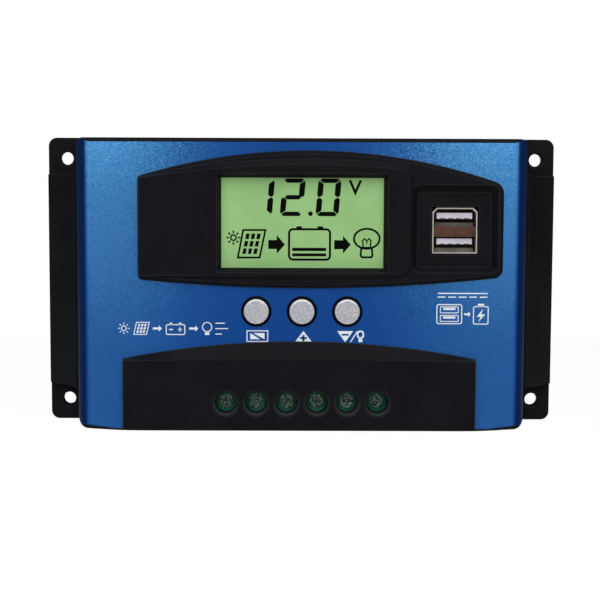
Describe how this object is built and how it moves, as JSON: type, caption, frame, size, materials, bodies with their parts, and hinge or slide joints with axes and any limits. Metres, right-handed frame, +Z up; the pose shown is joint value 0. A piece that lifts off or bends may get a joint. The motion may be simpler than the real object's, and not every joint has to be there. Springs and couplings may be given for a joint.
{
  "type": "solar charge controller",
  "caption": "Wall-mounted solar charge controller with a display, push buttons, a twin USB outlet, clamp terminals and mounting tabs.",
  "frame": {"origin": "centre of the back mounting plane, which is also the centre of the four wall holes", "axes": "+X to the right as seen from the front, +Y into the wall (the face looks along -Y), +Z up as mounted"},
  "size_m": [0.168, 0.0365, 0.0942],
  "materials": {
    "black_plastic": "satin moulded ABS",
    "blue_paint": "metallic blue sprayed ABS",
    "button_plastic": "silver sprayed plastic",
    "green_plastic": "dark green moulded nylon",
    "white_plastic": "white moulded plastic",
    "brown_plastic": "brown insulating plastic",
    "dark_part": "black epoxy and moulded parts",
    "aluminium_plate": "milled",
    "plated_steel": "nickel plated",
    "tinned_brass": "tinned",
    "gold_contact": "gold flashed",
    "circuit_board": "glass-epoxy laminate with green resist",
    "lcd_cell": "green display cell behind polished glass",
    "silicone_pad": "grey silicone",
    "ferrite": "dark ferrite"
  },
  "bodies": {
    "case": {"base_shell": "black_plastic", "front_cover": "blue_paint", "display_bezel": "black_plastic", "terminal_fascia": "black_plastic", "heat_sink": "aluminium_plate", "heat_sink_screws": "plated_steel", "thermal_pad": "silicone_pad", "power_transistors": "dark_part", "main_board": "circuit_board", "main_board_screws": "plated_steel", "capacitors": "dark_part", "buck_inductor": "ferrite", "current_shunt": "tinned_brass", "controller_chip": "dark_part", "blocking_diodes": "dark_part", "board_link_pins": "gold_contact", "board_link_header": "dark_part", "display_board": "circuit_board", "display_board_screws": "plated_steel", "lcd_frame": "white_plastic", "lcd_backlight": "white_plastic", "lcd_glass": "lcd_cell", "switch_bodies": "dark_part", "terminal_block": "green_plastic", "contact_bars": "tinned_brass", "usb_board": "circuit_board", "usb_link_pins": "gold_contact", "usb_link_header": "dark_part", "usb_shell": "plated_steel", "usb_spacer": "brown_plastic", "usb_tongues": "white_plastic", "usb_contacts": "gold_contact", "case_screws": "plated_steel"},
    "button_1": {"button_cap_1": "button_plastic"},
    "plunger_1": {"switch_plunger_1": "dark_part"},
    "button_2": {"button_cap_2": "button_plastic"},
    "plunger_2": {"switch_plunger_2": "dark_part"},
    "button_3": {"button_cap_3": "button_plastic"},
    "plunger_3": {"switch_plunger_3": "dark_part"},
    "screw_1": {"terminal_screw_1": "plated_steel"},
    "cage_1": {"clamp_cage_1": "plated_steel"},
    "screw_2": {"terminal_screw_2": "plated_steel"},
    "cage_2": {"clamp_cage_2": "plated_steel"},
    "screw_3": {"terminal_screw_3": "plated_steel"},
    "cage_3": {"clamp_cage_3": "plated_steel"},
    "screw_4": {"terminal_screw_4": "plated_steel"},
    "cage_4": {"clamp_cage_4": "plated_steel"},
    "screw_5": {"terminal_screw_5": "plated_steel"},
    "cage_5": {"clamp_cage_5": "plated_steel"},
    "screw_6": {"terminal_screw_6": "plated_steel"},
    "cage_6": {"clamp_cage_6": "plated_steel"}
  },
  "joints": [
    {"name": "button_press_1", "type": "slide", "parent": "case", "child": "button_1", "axis": [0, 1, 0], "range_m": [0, 0.0008], "stiffness_N_per_m": 400, "springref_m": -0.003},
    {"name": "plunger_press_1", "type": "slide", "parent": "case", "child": "plunger_1", "axis": [0, 1, 0], "range_m": [0, 0.0008]},
    {"name": "button_press_2", "type": "slide", "parent": "case", "child": "button_2", "axis": [0, 1, 0], "range_m": [0, 0.0008], "stiffness_N_per_m": 400, "springref_m": -0.003},
    {"name": "plunger_press_2", "type": "slide", "parent": "case", "child": "plunger_2", "axis": [0, 1, 0], "range_m": [0, 0.0008]},
    {"name": "button_press_3", "type": "slide", "parent": "case", "child": "button_3", "axis": [0, 1, 0], "range_m": [0, 0.0008], "stiffness_N_per_m": 400, "springref_m": -0.003},
    {"name": "plunger_press_3", "type": "slide", "parent": "case", "child": "plunger_3", "axis": [0, 1, 0], "range_m": [0, 0.0008]},
    {"name": "screw_turn_1", "type": "hinge", "parent": "case", "child": "screw_1", "pos_m": [-0.02372, -0.029, -0.0364], "axis": [0, 1, 0], "range_deg": [0, 2160]},
    {"name": "cage_rise_1", "type": "slide", "parent": "case", "child": "cage_1", "axis": [0, -1, 0], "range_m": [0, 0.003]},
    {"name": "screw_turn_2", "type": "hinge", "parent": "case", "child": "screw_2", "pos_m": [-0.01419, -0.029, -0.0364], "axis": [0, 1, 0], "range_deg": [0, 2160]},
    {"name": "cage_rise_2", "type": "slide", "parent": "case", "child": "cage_2", "axis": [0, -1, 0], "range_m": [0, 0.003]},
    {"name": "screw_turn_3", "type": "hinge", "parent": "case", "child": "screw_3", "pos_m": [-0.00466, -0.029, -0.0364], "axis": [0, 1, 0], "range_deg": [0, 2160]},
    {"name": "cage_rise_3", "type": "slide", "parent": "case", "child": "cage_3", "axis": [0, -1, 0], "range_m": [0, 0.003]},
    {"name": "screw_turn_4", "type": "hinge", "parent": "case", "child": "screw_4", "pos_m": [0.00487, -0.029, -0.0364], "axis": [0, 1, 0], "range_deg": [0, 2160]},
    {"name": "cage_rise_4", "type": "slide", "parent": "case", "child": "cage_4", "axis": [0, -1, 0], "range_m": [0, 0.003]},
    {"name": "screw_turn_5", "type": "hinge", "parent": "case", "child": "screw_5", "pos_m": [0.01439, -0.029, -0.0364], "axis": [0, 1, 0], "range_deg": [0, 2160]},
    {"name": "cage_rise_5", "type": "slide", "parent": "case", "child": "cage_5", "axis": [0, -1, 0], "range_m": [0, 0.003]},
    {"name": "screw_turn_6", "type": "hinge", "parent": "case", "child": "screw_6", "pos_m": [0.02392, -0.029, -0.0364], "axis": [0, 1, 0], "range_deg": [0, 2160]},
    {"name": "cage_rise_6", "type": "slide", "parent": "case", "child": "cage_6", "axis": [0, -1, 0], "range_m": [0, 0.003]}
  ],
  "couplings": [
    {"joint": "plunger_press_1", "follows": "button_press_1", "ratio": 1},
    {"joint": "plunger_press_2", "follows": "button_press_2", "ratio": 1},
    {"joint": "plunger_press_3", "follows": "button_press_3", "ratio": 1},
    {"joint": "screw_turn_1", "follows": "cage_rise_1", "rad_per_m": 12566},
    {"joint": "screw_turn_2", "follows": "cage_rise_2", "rad_per_m": 12566},
    {"joint": "screw_turn_3", "follows": "cage_rise_3", "rad_per_m": 12566},
    {"joint": "screw_turn_4", "follows": "cage_rise_4", "rad_per_m": 12566},
    {"joint": "screw_turn_5", "follows": "cage_rise_5", "rad_per_m": 12566},
    {"joint": "screw_turn_6", "follows": "cage_rise_6", "rad_per_m": 12566}
  ]
}
